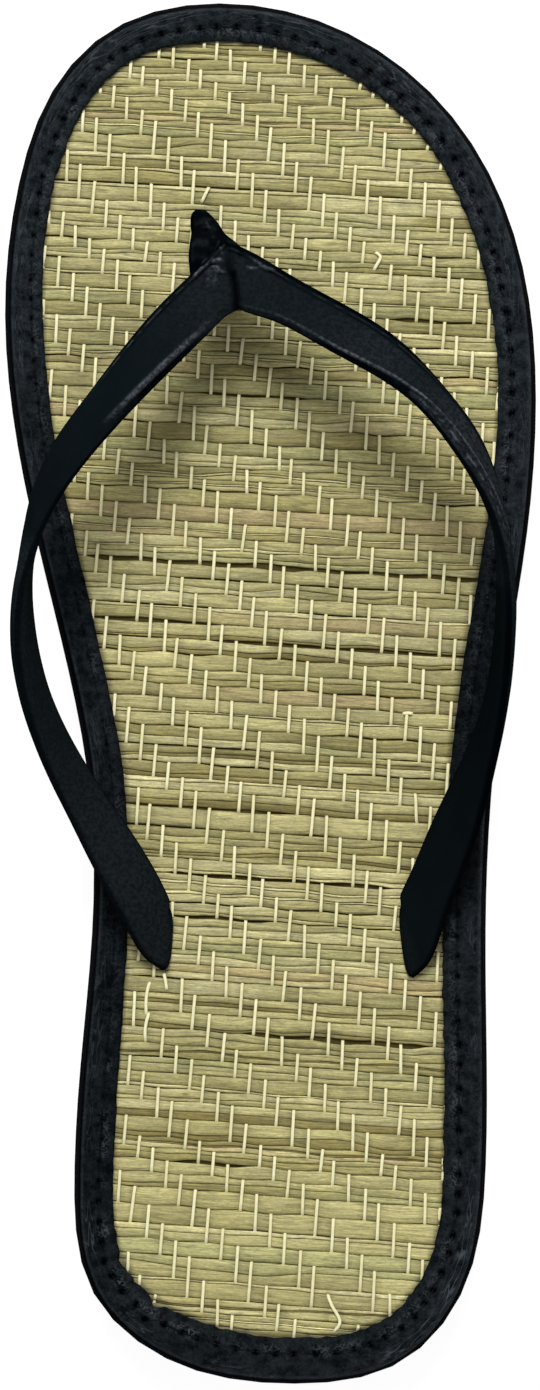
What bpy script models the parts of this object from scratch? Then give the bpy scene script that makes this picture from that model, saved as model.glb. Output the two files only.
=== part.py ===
"""A flip-flop for the right foot: foam sole, rush insole, bound edge and V-strap.

Tables and sizes are in millimetres, and each mesh is made in metres. +Y points to
the toe, +X to the outer side of the foot and +Z up. The tread rests on z = 0.
"""

import bmesh
import bpy
import numpy as np

MM = 0.001
GAP = 0.3  # clearance between pieces that touch on the real shoe

# The sole's outline, from the toe tip down the inner side and back up the outer side,
# and how far the binding's top band reaches in from it.
OUTLINE = (
    # where                    x       y      band
    ("toe tip",              -10.8,  127.5,   7.3),
    ("inner toe curve",      -29.3,  122.7,   7.1),
    ("inner toe corner",     -40.2,  111.6,   7.0),
    ("beside big toe",       -46.4,   95.0,   6.6),
    ("inner ball",           -49.1,   72.8,   7.1),
    ("behind inner ball",    -45.6,   39.5,   7.0),
    ("inner arch, start",    -41.4,   21.0,   6.9),
    ("inner arch, front",    -37.8,    6.2,   6.6),
    ("inner arch, back",     -33.4,  -18.0,   6.6),
    ("inner waist",          -32.8,  -42.0,   6.5),
    ("inner heel, front",    -35.0,  -68.0,   7.2),
    ("inner heel",           -36.2,  -90.0,   7.3),
    ("inner heel corner",    -32.8, -110.5,   7.8),
    ("heel back, inner",     -18.5, -123.2,   9.0),
    ("heel tip",               4.0, -127.5,   8.8),
    ("heel back, outer",      24.6, -123.2,   8.6),
    ("outer heel corner",     35.6, -110.3,   8.0),
    ("outer heel",            39.8,  -88.0,   8.0),
    ("outer waist",           39.8,  -45.0,   8.0),
    ("outer arch",            43.0,    0.6,   8.0),
    ("behind outer ball",     47.6,   30.0,   7.7),
    ("outer ball",            49.2,   52.0,   7.1),
    ("beside little toe",     45.5,   83.9,   7.3),
    ("outer toe corner",      34.3,  106.0,   7.0),
    ("outer toe curve",       13.0,  122.7,   7.2),
)
OUTLINE_SIDE = 50  # points down each side of the sole

# The foam sole: thickness at ball and heel, and how its two faces leave the level.
TOE_END = 127.5
HEEL_END = -127.5
SOLE_AT_BALL = 10.5
SOLE_AT_HEEL = 14.0
WEDGE_BACK = -62.0
WEDGE_FRONT = 42.0
TOE_SPRING = 5.0
TOE_SPRING_START = 84.0
TOE_LIFT = 3.4
TOE_LIFT_START = 76.0
ARCH_RISE = 2.0
ARCH_BACK = -46.0
ARCH_FRONT = 22.0
HEEL_BEVEL = 1.2
HEEL_BEVEL_START = -113.0

# Tread: bars between transverse grooves, with a plain pad under the heel and the ball.
GROOVE_WIDTH = 3.0
GROOVE_DEPTH = 1.6
GROOVE_PITCH = 7.5
GROOVE_MARGIN = 7.0  # from the outline
GROOVE_LINES = (
    # where        first y  last y
    ("heel",       -114.0,  -54.0),
    ("forefoot",     28.0,  110.5),
)
PADS = (
    # where        x      y     width  length
    ("heel",       2.0,  -84.0,  30.0,  24.0),
    ("forefoot",  -1.0,   61.75, 36.0,  24.0),
)

# Side profiles of the sole, insole and binding. Inset is measured in from the outline.
SOLE_SIDE = (
    # inset  above      height
    (2.2,  "tread",     0.0),
    (1.0,  "tread",     0.8),
    (0.25, "tread",     3.2),
    (0.0,  "footbed",  -2.2),
    (0.0,  "footbed",  -0.6),
    (0.5,  "footbed",   0.0),
)
INSOLE_TOP = 2.9
INSOLE_SIDE = (
    # inset  above      height
    (6.2,  "footbed",   0.3),
    (6.0,  "footbed",   1.5),
    (2.0,  "footbed",   1.5),
    (1.7,  "footbed",   1.9),
    (1.7,  "footbed",   2.6),
    (2.1,  "footbed",   INSOLE_TOP),
)
# The binding is one closed C: a flange under the insole, a rolled edge, and the band on top.
BINDING_OUTSIDE = (
    # inset  height
    (5.7,   0.3),
    (1.6,   0.3),
    (0.75,  0.55),
    (0.35,  1.3),
    (0.35,  2.6),
    (0.75,  3.5),
    (1.5,   4.05),
    (2.6,   4.25),
)
BAND_EDGE = (
    # back from the band's inner edge, height
    (0.6,   4.15),
    (0.0,   3.75),
    (0.0,   3.2),
)
BINDING_INSIDE = (
    # inset  height
    (2.2,   3.2),
    (1.55,  2.85),
    (1.4,   2.2),
    (1.5,   1.55),
    (2.0,   1.2),
    (5.7,   1.2),
)

# The strap. Each row of an arm is a section, as its toe-side and heel-side edges, with
# heights above the insole's top. From the bow-out down, the heel-side edge is outermost.
STRAP_THICKNESS = 3.0
STRAP_SQUARENESS = 2.8  # exponent of the superellipse that each section is
STRAP_SIDES = 14
STRAP_STEP = 3.2  # between sections
TAIL_DEPTH = 7.5  # how far each end reaches below the insole's top
INNER_ARM = (
    # toe side               heel side
    #  x      y    height     x      y    height
    (-8.6,   82.8,  13.4,    -3.7,   70.5,  19.5),
    (-11.5,  79.5,  14.6,    -6.6,   69.6,  20.0),
    (-16.9,  74.0,  17.5,    -9.7,   67.1,  22.0),
    (-25.6,  64.1,  22.2,   -18.9,   57.8,  27.8),
    (-33.6,  53.1,  25.6,   -28.6,   47.7,  32.5),
    (-39.3,  44.6,  26.2,   -35.4,   39.6,  33.9),
    (-43.1,  34.3,  24.8,   -40.7,   31.6,  34.0),
    (-44.3,  24.6,  22.5,   -44.1,   23.7,  32.4),
    (-43.7,  13.0,  19.0,   -46.3,   12.0,  28.7),
    (-41.2,   1.5,  14.7,   -45.2,   -0.4,  23.4),
    (-36.2,  -9.5,  10.7,   -41.7,  -12.1,  18.2),
    (-29.6, -19.8,   7.3,   -36.6,  -23.3,  13.0),
    (-23.3, -29.1,   4.4,   -31.4,  -33.9,   9.8),
    (-19.1, -37.0,   2.0,   -25.8,  -44.4,   5.6),
    (-18.9, -38.4,   1.4,   -22.8,  -49.0,   2.6),
    (-19.2, -39.4,   0.9,   -19.9,  -51.0,   0.9),
)
OUTER_ARM = (
    # toe side               heel side
    #  x      y    height     x      y    height
    (-8.9,   83.0,  13.0,    -7.7,   71.0,  18.8),
    (-4.6,   81.2,  14.2,    -4.9,   69.6,  19.8),
    (3.5,    76.3,  17.5,     0.3,   67.9,  22.2),
    (14.6,   69.9,  22.0,    11.3,   61.9,  27.0),
    (24.0,   63.3,  25.0,    19.9,   57.1,  30.6),
    (31.5,   54.9,  25.8,    27.2,   51.6,  33.5),
    (37.5,   46.5,  25.2,    33.7,   43.6,  34.0),
    (41.2,   35.0,  22.9,    39.8,   33.7,  32.7),
    (42.3,   23.0,  19.7,    43.0,   22.2,  29.6),
    (41.6,   11.0,  16.1,    43.6,    9.6,  25.8),
    (39.4,   -2.0,  12.1,    42.5,   -3.8,  21.2),
    (34.3,  -14.7,   8.2,    39.9,  -17.6,  16.0),
    (29.8,  -23.8,   5.4,    37.2,  -27.7,  11.6),
    (26.6,  -31.3,   3.3,    34.2,  -35.9,   8.2),
    (24.4,  -36.0,   1.9,    31.5,  -43.6,   5.0),
    (24.2,  -37.4,   1.4,    29.0,  -49.8,   2.6),
    (24.8,  -38.6,   0.9,    26.3,  -52.4,   0.9),
)
POST = (
    # height   x      y    width  depth
    (0.0,   -13.0,   87.0,   3.6,   4.8),
    (5.0,   -11.9,   84.8,   5.4,   5.0),
    (9.0,   -11.2,   82.4,   7.2,   5.2),
    (12.5,   -9.8,   79.7,  10.4,   5.4),
    (15.6,   -9.0,   75.8,  11.2,   5.2),
)
POST_SIDES = 14

COLORS = {
    # piece          red    green  blue   roughness
    "sole":         (0.020, 0.021, 0.023, 0.75),
    "insole":       (0.47,  0.40,  0.20,  0.85),
    "edge_binding": (0.013, 0.017, 0.022, 0.45),
    "strap":        (0.011, 0.015, 0.021, 0.38),
}


def cubic_through(points, closed=False):
    """A smooth curve through the points, as a function of a share of its length."""
    points = np.asarray(points, float)
    if closed:
        points = np.vstack([points, points[:1]])
    steps = np.linalg.norm(np.diff(points, axis=0), axis=1)
    knots = np.concatenate([[0.0], np.cumsum(steps)])
    last = len(points) - 1
    matrix = np.eye(last + 1)
    right = np.zeros_like(points)
    for i in range(0 if closed else 1, last):
        before = steps[i - 1]
        slope_in = (points[i] - points[i - 1]) / before
        if i == 0:
            slope_in = (points[last] - points[last - 1]) / before
        matrix[i, i] = 2 * (before + steps[i])
        matrix[i, (i - 1) if i else last - 1] += before
        matrix[i, i + 1] += steps[i]
        right[i] = 6 * ((points[i + 1] - points[i]) / steps[i] - slope_in)
    if closed:
        matrix[last, 0] = -1
    bends = np.linalg.solve(matrix, right)

    def curve(shares):
        at = np.asarray(shares, float) * knots[-1]
        i = np.clip(np.searchsorted(knots, at, side="right") - 1, 0, last - 1)
        step = steps[i][:, None]
        b = ((at - knots[i]) / steps[i])[:, None]
        a = 1 - b
        bend = (a**3 - a) * bends[i] + (b**3 - b) * bends[i + 1]
        return a * points[i] + b * points[i + 1] + bend * step**2 / 6

    return curve


def even_shares(line, count):
    """Places along a finely sampled line that cut it into equal lengths."""
    steps = np.linalg.norm(np.diff(line, axis=0), axis=1)
    length = np.concatenate([[0.0], np.cumsum(steps)])
    return np.interp(np.linspace(0, length[-1], count), length, np.arange(len(line)))


def outline_points():
    """The outline's points, toe tip first, their inward directions and the band's widths.

    The points at index i and -i lie across the sole from each other.
    """
    curve = cubic_through([row[1:] for row in OUTLINE], closed=True)
    fine = curve(np.linspace(0, 1, 4001)[:-1])
    fine = np.roll(fine, -int(np.argmax(fine[:, 1])), axis=0)
    heel = int(np.argmin(fine[:, 1]))
    inner = even_shares(fine[: heel + 1, :2], OUTLINE_SIDE + 1)
    outer = heel + even_shares(np.vstack([fine[heel:, :2], fine[:1, :2]]), OUTLINE_SIDE + 1)
    index = np.round(np.concatenate([inner[:-1], outer[:-1]])).astype(int) % len(fine)
    ahead = np.roll(fine, -1, axis=0)[:, :2] - np.roll(fine, 1, axis=0)[:, :2]
    inward = np.column_stack([-ahead[:, 1], ahead[:, 0]])
    inward /= np.linalg.norm(inward, axis=1)[:, None]
    points = fine[:, :2]
    centre = (points.max(axis=0) + points.min(axis=0)) / 2
    return (points - centre)[index], inward[index], fine[index, 2]


def share(value, start, end):
    """How far value is from start to end, from 0 to 1."""
    return np.clip((value - start) / (end - start), 0, 1)


def tread(y):
    """Height of the tread face: arch, toe spring and a bevelled heel end."""
    arch = ARCH_RISE * np.sin(np.pi * share(y, ARCH_BACK, ARCH_FRONT)) ** 2
    spring = TOE_SPRING * share(y, TOE_SPRING_START, TOE_END) ** 2
    bevel = HEEL_BEVEL * share(y, HEEL_BEVEL_START, HEEL_END) ** 2
    return arch + spring + bevel


def footbed(y):
    """Height of the foam's top face: a wedge from ball to heel, and the toe's lift."""
    wedge = share(y, WEDGE_FRONT, WEDGE_BACK)
    wedge = wedge * wedge * (3 - 2 * wedge)
    lift = TOE_LIFT * share(y, TOE_LIFT_START, TOE_END) ** 2
    return SOLE_AT_BALL + (SOLE_AT_HEEL - SOLE_AT_BALL) * wedge + lift


def edge_ring(outline, inset, above, height):
    """A closed ring of points that follows the outline, moved in and set at a height."""
    points, inward, _ = outline
    flat = points + inward * np.reshape(inset, (-1, 1))
    surface = tread if above == "tread" else footbed
    return np.column_stack([flat, surface(flat[:, 1]) + height])


def ring_faces(lower, upper, count):
    """Quads between two rings of points, given the index of each ring's first point."""
    following = [(i + 1) % count for i in range(count)]
    return [(lower + i, lower + j, upper + j, upper + i) for i, j in enumerate(following)]


def cross_strips(first, count):
    """Strips across a ring, between the points that lie across from each other."""
    strips = [(first, first + 1, first + count - 1)]
    for i in range(1, count // 2 - 1):
        strips.append((first + i, first + i + 1, first + count - i - 1, first + count - i))
    middle = count // 2
    strips.append((first + middle - 1, first + middle, first + middle + 1))
    return strips


def outward(mesh):
    """Turns the faces of a closed mesh to point out."""
    shape = bmesh.new()
    shape.from_mesh(mesh)
    bmesh.ops.recalc_face_normals(shape, faces=shape.faces)
    shape.to_mesh(mesh)
    shape.free()


def add_object(name, vertices, faces, collection):
    mesh = bpy.data.meshes.new(name)
    mesh.from_pydata((np.vstack(vertices) * MM).tolist(), [], faces)
    mesh.validate()
    outward(mesh)
    piece = bpy.data.objects.new(name, mesh)
    collection.objects.link(piece)
    return piece


def slab(name, outline, profile, collection):
    """A solid whose side follows the outline with the given profile, closed across."""
    rings = [edge_ring(outline, *row) for row in profile]
    count = len(rings[0])
    faces = cross_strips(0, count) + cross_strips((len(rings) - 1) * count, count)
    for k in range(len(rings) - 1):
        faces += ring_faces(k * count, (k + 1) * count, count)
    return add_object(name, rings, faces, collection)


def band_ring(outline, section, collection):
    """A closed section carried round the outline. Each row is (insets, height)."""
    rings = [edge_ring(outline, inset, "footbed", height) for inset, height in section]
    count = len(rings[0])
    faces = []
    for k in range(len(rings)):
        faces += ring_faces(k * count, (k + 1) % len(rings) * count, count)
    return add_object("edge_binding", rings, faces, collection)


def round_section(centre, across, normal, sides):
    """A superellipse about centre, whose half axes are the vectors across and normal."""
    angle = np.arange(sides) * 2 * np.pi / sides
    power = 2 / STRAP_SQUARENESS
    u = np.sign(np.cos(angle)) * np.abs(np.cos(angle)) ** power
    v = np.sign(np.sin(angle)) * np.abs(np.sin(angle)) ** power
    return centre + np.outer(u, across) + np.outer(v, normal)


def loft(name, sections, collection):
    """A solid through sections with equal numbers of points, closed by its end sections."""
    sides = len(sections[0])
    faces = [tuple(range(sides)), tuple(range((len(sections) - 1) * sides, len(sections) * sides))]
    for k in range(len(sections) - 1):
        faces += ring_faces(k * sides, (k + 1) * sides, sides)
    return add_object(name, sections, faces, collection)


def strap_section(toe_side, heel_side, ahead):
    """A section between the strap's two edges, with its faces along the way ahead."""
    across = (heel_side - toe_side) / 2
    normal = np.cross(ahead, across)
    normal *= STRAP_THICKNESS / 2 / np.linalg.norm(normal)
    return round_section((toe_side + heel_side) / 2, across, normal, STRAP_SIDES)


def arm_sections(rows):
    """Sections of an arm from the apex to its slot, then its straight end down the slot."""
    rows = np.array(rows, float)
    for column in (2, 5):
        rows[:, column] += footbed(rows[:, column - 1]) + INSOLE_TOP
    curve = cubic_through(rows)
    fine = curve(np.linspace(0, 1, 1001))
    middle = (fine[:, :3] + fine[:, 3:]) / 2
    length = np.linalg.norm(np.diff(middle, axis=0), axis=1).sum()
    edges = curve(even_shares(middle, int(length / STRAP_STEP) + 1) / 1000)
    along = np.gradient((edges[:, :3] + edges[:, 3:]) / 2, axis=0)
    sections = [strap_section(row[:3], row[3:], ahead) for row, ahead in zip(edges, along)]
    for height in (-0.6, -TAIL_DEPTH):
        end = rows[-1].copy()
        end[[2, 5]] = footbed(end[[1, 4]].mean()) + INSOLE_TOP + height
        sections.append(strap_section(end[:3], end[3:], np.array([0, 0, -1])))
    return sections


def post_sections():
    """The toe post, from its end in the sole up to where the arms join it."""
    foot = (-TAIL_DEPTH,) + POST[0][1:]
    sections = []
    for height, x, y, width, depth in (foot,) + POST:
        centre = np.array([x, y, footbed(y) + INSOLE_TOP + height])
        across = np.array([width / 2, 0, 0])
        sections.append(round_section(centre, across, np.array([0, depth / 2, 0]), POST_SIDES))
    return sections


def slot_sections(section):
    """A section of an end of the strap, grown by the gap and carried through the footbed."""
    flat = section[:, :2]
    centre = flat.mean(axis=0)
    size = flat.max(axis=0) - flat.min(axis=0)
    grown = centre + (flat - centre) * (size + 2 * GAP) / size
    top = footbed(centre[1]) + INSOLE_TOP
    return [
        np.column_stack([grown, np.full(len(grown), top + height)])
        for height in (-TAIL_DEPTH - GAP, 3.0)
    ]


def combine(body, other, operation):
    """A Boolean modifier on body: UNION joins other to it, DIFFERENCE cuts other from it."""
    boolean = body.modifiers.new(operation.lower() + " " + other.name, "BOOLEAN")
    boolean.operation = operation
    boolean.object = other


def groove_spans(outline, y):
    """The stretches in x of the groove at y: inside the margins and clear of the pads."""
    points = outline[0]
    inner = points[: OUTLINE_SIDE + 1]
    outer = np.vstack([points[OUTLINE_SIDE:], points[:1]])
    low = np.interp(-y, -inner[:, 1], inner[:, 0]) + GROOVE_MARGIN
    high = np.interp(y, outer[:, 1], outer[:, 0]) - GROOVE_MARGIN
    for _, pad_x, pad_y, width, length in PADS:
        if abs(y - pad_y) < length / 2:
            return ((low, pad_x - width / 2), (pad_x + width / 2, high))
    return ((low, high),)


def groove_cutter(outline, collection):
    """One box for each stretch of groove."""
    shape = bmesh.new()
    for _, first, last in GROOVE_LINES:
        for y in np.arange(first, last + 0.01, GROOVE_PITCH):
            top = tread(y) + GROOVE_DEPTH
            for low, high in groove_spans(outline, y):
                box = bmesh.ops.create_cube(shape, size=1)["verts"]
                size = np.array([high - low, GROOVE_WIDTH, top + 2])
                centre = np.array([(low + high) / 2, y, top / 2 - 1])
                bmesh.ops.scale(shape, vec=size * MM, verts=box)
                bmesh.ops.translate(shape, vec=centre * MM, verts=box)
    mesh = bpy.data.meshes.new("tread_grooves")
    shape.to_mesh(mesh)
    shape.free()
    cutter = bpy.data.objects.new("tread_grooves", mesh)
    collection.objects.link(cutter)
    return cutter


def paint(piece):
    red, green, blue, roughness = COLORS[piece.name]
    material = bpy.data.materials.new(piece.name)
    material.use_nodes = True
    shader = material.node_tree.nodes["Principled BSDF"]
    shader.inputs["Base Color"].default_value = (red, green, blue, 1)
    shader.inputs["Roughness"].default_value = roughness
    material.diffuse_color = (red, green, blue, 1)
    piece.data.materials.append(material)


def shade(piece):
    piece.data.shade_smooth()
    piece.data.set_sharp_from_angle(angle=np.radians(35))


def new_collection(name):
    collection = bpy.data.collections.new(name)
    bpy.context.scene.collection.children.link(collection)
    return collection


def hide_helpers(collection):
    collection.hide_render = True
    for helper in collection.objects:
        helper.hide_render = True
        helper.display_type = "WIRE"


def main():
    for old in list(bpy.data.objects):
        bpy.data.objects.remove(old)
    parts = new_collection("flip_flop")
    helpers = new_collection("cutters")
    outline = outline_points()

    inner_arm = arm_sections(INNER_ARM)
    outer_arm = arm_sections(OUTER_ARM)
    post = post_sections()
    strap = loft("strap", inner_arm, parts)
    combine(strap, loft("outer_arm", outer_arm, helpers), "UNION")
    combine(strap, loft("toe_post", post, helpers), "UNION")

    sole = slab("sole", outline, SOLE_SIDE, parts)
    insole = slab("insole", outline, INSOLE_SIDE, parts)
    for name, end in (("inner", inner_arm[-1]), ("outer", outer_arm[-1]), ("post", post[0])):
        slot = loft(name + "_slot", slot_sections(end), helpers)
        combine(sole, slot, "DIFFERENCE")
        combine(insole, slot, "DIFFERENCE")
    combine(sole, groove_cutter(outline, helpers), "DIFFERENCE")

    band = outline[2]
    band_edge = [(band - back, height) for back, height in BAND_EDGE]
    binding = band_ring(outline, [*BINDING_OUTSIDE, *band_edge, *BINDING_INSIDE], parts)

    for piece in (sole, insole, binding, strap):
        paint(piece)
        shade(piece)
    hide_helpers(helpers)


main()
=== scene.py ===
"""The looks of a right flip-flop: rush mat, bound edge, padded V-strap and foam sole.

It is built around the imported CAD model. Sizes and tables are in millimetres and meshes
in metres. +Y points to the toe, +X to the outer side of the foot and +Z up. Heights are
counted from the foam's top face, which is measured from the CAD sole, and the strap's
from the top of the mat.
"""

import math

import bpy
import numpy as np
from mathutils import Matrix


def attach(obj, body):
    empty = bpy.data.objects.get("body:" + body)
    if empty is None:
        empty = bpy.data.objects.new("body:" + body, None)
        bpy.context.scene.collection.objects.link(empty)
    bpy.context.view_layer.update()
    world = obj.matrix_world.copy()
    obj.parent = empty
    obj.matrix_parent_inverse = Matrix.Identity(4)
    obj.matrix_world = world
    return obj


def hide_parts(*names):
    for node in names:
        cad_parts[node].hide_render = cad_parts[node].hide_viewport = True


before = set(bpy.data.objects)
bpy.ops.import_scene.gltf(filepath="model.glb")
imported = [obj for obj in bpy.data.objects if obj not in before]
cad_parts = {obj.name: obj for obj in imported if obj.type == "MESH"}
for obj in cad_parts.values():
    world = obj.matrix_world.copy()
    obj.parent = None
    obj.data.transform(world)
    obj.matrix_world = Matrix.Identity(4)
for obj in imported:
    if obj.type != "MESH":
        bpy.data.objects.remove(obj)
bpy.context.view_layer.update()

MM = 0.001

# Camera, straight above the shoe with the toe up.
CAMERA_X = -0.09
CAMERA_Y = -0.28
CAMERA_HEIGHT = 1412.0
VIEW_DISTANCE = 1400.0
VIEW_LENGTH = 257.04
SENSOR = 36.0

# How the weave lies: its rows are turned a little and fan out, and its columns of thread
# spread towards the heel.
WEAVE_TURN = math.radians(3.7)
STRAIGHT_COLUMN = 6.6  # the column that the others spread from
STRAIGHT_COLUMN_AT = 10.8
COLUMN_PITCH = 2.66
COLUMN_SPREAD = 0.21
SPREAD_START = 60.0
SPREAD_LENGTH = 170.0
COLUMNS = (-19, 25)
CHART_COLUMN_AT = -7.0
ROW_FAN = 0.00012
ROW_WAVE = 0.09
ROW_WANDER = 0.08

# The rows that column 0's thread crosses, from the toe to the heel: it floats over two
# picks of rush and then goes under two. Each next column floats one pick further on.
CHART_START = 129.5
CHART = (
    # over, under
    (4.5, 4.5), (4.5, 4.0), (3.3, 4.3), (6.3, 5.5), (5.9, 4.6), (3.7, 5.5),
    (5.2, 5.3), (5.0, 5.2), (6.5, 4.6), (4.4, 5.9), (5.0, 5.5), (5.2, 6.1),
    (5.5, 5.4), (5.2, 6.8), (5.0, 6.8), (5.7, 6.0), (4.6, 6.1), (5.5, 6.1),
    (6.1, 5.2), (5.2, 6.8), (4.2, 5.0), (6.8, 5.6), (7.4, 5.0), (5.5, 5.5),
)
REPEAT = 4

# The mat's heights above the foam.
MAT_LEVEL = 2.9  # the CAD insole's top
STRAND_TOP = 3.05
STRAND_BASE = 2.35
PRESSED_TOP = 2.85  # how high strands are where the band presses them down
CROSSING_RISE = 0.24  # how much higher a pick is between its threads than below them
THREAD_PRESS = 0.18  # how far each thread presses it down
UNDER_BAND = 2.0  # how far strands run on below the band
THREAD_WIDTH = 0.62
THREAD_HEIGHT = 0.42
THREAD_CENTRE = 3.29


# ---- curves and noise ----


def smooth(value):
    """0 below 0, 1 above 1, and a soft step between."""
    value = np.clip(value, 0, 1)
    return value * value * (3 - 2 * value)


def bell(distance, half_width):
    """1 at no distance, falling softly to 0 a few half widths away."""
    return np.exp(-((distance / half_width) ** 2))


def scatter(whole, seed):
    """A steady random number from -1 to 1 for each row of whole numbers."""
    mixed = np.full(whole.shape[:-1], seed * 2654435761 % 2**32, np.uint64)
    for k in range(whole.shape[-1]):
        mixed ^= (whole[..., k].astype(np.int64) & 0xFFFFFFFF).astype(np.uint64)
        mixed = (mixed * np.uint64(2246822519)) & np.uint64(0xFFFFFFFF)
        mixed ^= mixed >> np.uint64(13)
        mixed = (mixed * np.uint64(3266489917)) & np.uint64(0xFFFFFFFF)
        mixed ^= mixed >> np.uint64(16)
    return mixed.astype(float) / 2**31 - 1


def lumps(places, size, seed):
    """Smooth random values from -1 to 1, in lumps about this size, at each place."""
    places = np.asarray(places, float)
    if places.ndim == 1:
        places = places[:, None]
    places = places / size
    low = np.floor(places)
    part = places - low
    part = part * part * (3 - 2 * part)
    total = 0
    for corner in np.ndindex((2,) * places.shape[-1]):
        weight = np.prod(np.where(corner, part, 1 - part), axis=-1)
        total = total + weight * scatter(low + corner, seed)
    return total


def unit(vectors):
    """Vectors brought to a length of 1."""
    return vectors / np.linalg.norm(vectors, axis=-1)[..., None]


def lengths_along(line):
    """The length from a line's start to each of its points."""
    return np.concatenate([[0.0], np.cumsum(np.linalg.norm(np.diff(line, axis=0), axis=1))])


def cubic_through(points, closed=False):
    """A smooth curve through the points, as a function of a share of its length."""
    points = np.asarray(points, float)
    if closed:
        points = np.vstack([points, points[:1]])
    knots = lengths_along(points)
    steps = np.diff(knots)
    slopes = np.diff(points, axis=0) / steps[:, None]
    last = len(steps)
    matrix = np.eye(last + 1)
    right = np.zeros_like(points)
    for i in range(0 if closed else 1, last):
        matrix[i, i] = 2 * (steps[i - 1] + steps[i])
        matrix[i, (i - 1) % last] += steps[i - 1]
        matrix[i, i + 1] += steps[i]
        right[i] = 6 * (slopes[i] - slopes[i - 1])
    if closed:
        matrix[last, 0] = -1
    bends = np.linalg.solve(matrix, right)

    def curve(shares):
        at = np.asarray(shares, float) * knots[-1]
        i = np.clip(np.searchsorted(knots, at, side="right") - 1, 0, last - 1)
        step = steps[i][:, None]
        b = ((at - knots[i]) / steps[i])[:, None]
        a = 1 - b
        bend = (a**3 - a) * bends[i] + (b**3 - b) * bends[i + 1]
        return a * points[i] + b * points[i + 1] + bend * step**2 / 6

    return curve


def even_shares(line, count):
    """Places along a finely sampled line that cut it into equal lengths."""
    lengths = lengths_along(line)
    return np.interp(np.linspace(0, lengths[-1], count), lengths, np.arange(len(line)))


# ---- what is measured from the CAD model ----

SOLE_EDGE = -0.6  # height of the ring of CAD points along the sole's widest line
BAND_EDGE = 3.75  # height of the ring of CAD points along the binding's inner edge
RING_TOLERANCE = 0.08
FOAM_LINE = (-3.4, -0.058)  # x at y = 0 and slope of a line that is clear of the slots
FINE = 4000  # places round the outline


def node_points(name):
    """The points of a CAD node, in millimetres."""
    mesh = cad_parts[name].data
    points = np.empty(len(mesh.vertices) * 3)
    mesh.vertices.foreach_get("co", points)
    return points.reshape(-1, 3) / MM


def measure_foam():
    """Places along the shoe and the height of the foam's top face at each."""
    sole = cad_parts["sole"]
    points = node_points("sole")
    places = np.linspace(points[:, 1].min() + 1, points[:, 1].max() - 1, 160)
    heights = []
    for y in places:
        start = np.array([FOAM_LINE[0] + FOAM_LINE[1] * y, y, 100.0]) * MM
        heights.append(sole.ray_cast(start, (0, 0, -1))[1].z / MM)
    return places, np.array(heights)


FOAM_PLACES, FOAM_HEIGHTS = measure_foam()


def foam(y):
    """Height of the foam's top face."""
    return np.interp(y, FOAM_PLACES, FOAM_HEIGHTS)


def above_foam(x, y, height):
    """Points at a height above the foam."""
    return np.stack([x, y, foam(y) + height], axis=-1)


def ring_at(name, height):
    """The ring of a CAD node's points at this height above the foam, in order round it."""
    points = node_points(name)
    ring = points[np.abs(points[:, 2] - foam(points[:, 1]) - height) < RING_TOLERANCE]
    ring = np.unique(np.round(ring[:, :2], 3), axis=0)
    return ring[np.argsort(np.arctan2(ring[:, 1], ring[:, 0]))]


def measure_outline():
    """Even places round the outline, the way in and the band's width at each, its length."""
    curve = cubic_through(ring_at("sole", SOLE_EDGE), closed=True)
    fine = curve(np.linspace(0, 1, 2 * FINE))
    even = even_shares(fine, FINE + 1)[:-1]
    points = np.column_stack([np.interp(even, np.arange(len(fine)), fine[:, k]) for k in (0, 1)])
    ahead = np.roll(points, -1, axis=0) - np.roll(points, 1, axis=0)
    inward = unit(np.column_stack([-ahead[:, 1], ahead[:, 0]]))
    edge = ring_at("edge_binding", BAND_EDGE)
    gaps = np.linalg.norm(edge[:, None] - points[None], axis=2)
    band = np.interp(np.arange(FINE), gaps.argmin(axis=1), gaps.min(axis=1), period=FINE)
    return points, inward, band, lengths_along(np.vstack([points, points[:1]]))[-1]


OUTLINE, INWARD, BAND, OUTLINE_LENGTH = measure_outline()


def inset_ring(inset):
    """The outline moved in, as its angles and its distance from the origin at each."""
    ring = OUTLINE + INWARD * np.reshape(inset, (-1, 1))
    angle = np.arctan2(ring[:, 1], ring[:, 0])
    order = np.argsort(angle)
    return angle[order], np.linalg.norm(ring, axis=1)[order]


def room_inside(x, y, ring):
    """How far a place is inside a ring, measured along the line from the origin."""
    angle, reach = ring
    return np.interp(np.arctan2(y, x), angle, reach, period=2 * np.pi) - np.hypot(x, y)


BAND_RING = inset_ring(BAND)
STRAND_ENDS = inset_ring(BAND - UNDER_BAND)
THREAD_ENDS = inset_ring(BAND - UNDER_BAND / 2)


# ---- meshes ----


def add_object(name, data):
    """A new object in the scene."""
    made = bpy.data.objects.new(name, data)
    bpy.context.scene.collection.objects.link(made)
    return made


# The kind and field of a mesh attribute with this many numbers a point.
ATTRIBUTE_KINDS = {1: ("FLOAT", "value"), 3: ("FLOAT_VECTOR", "vector"), 4: ("FLOAT_COLOR", "color")}


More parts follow.
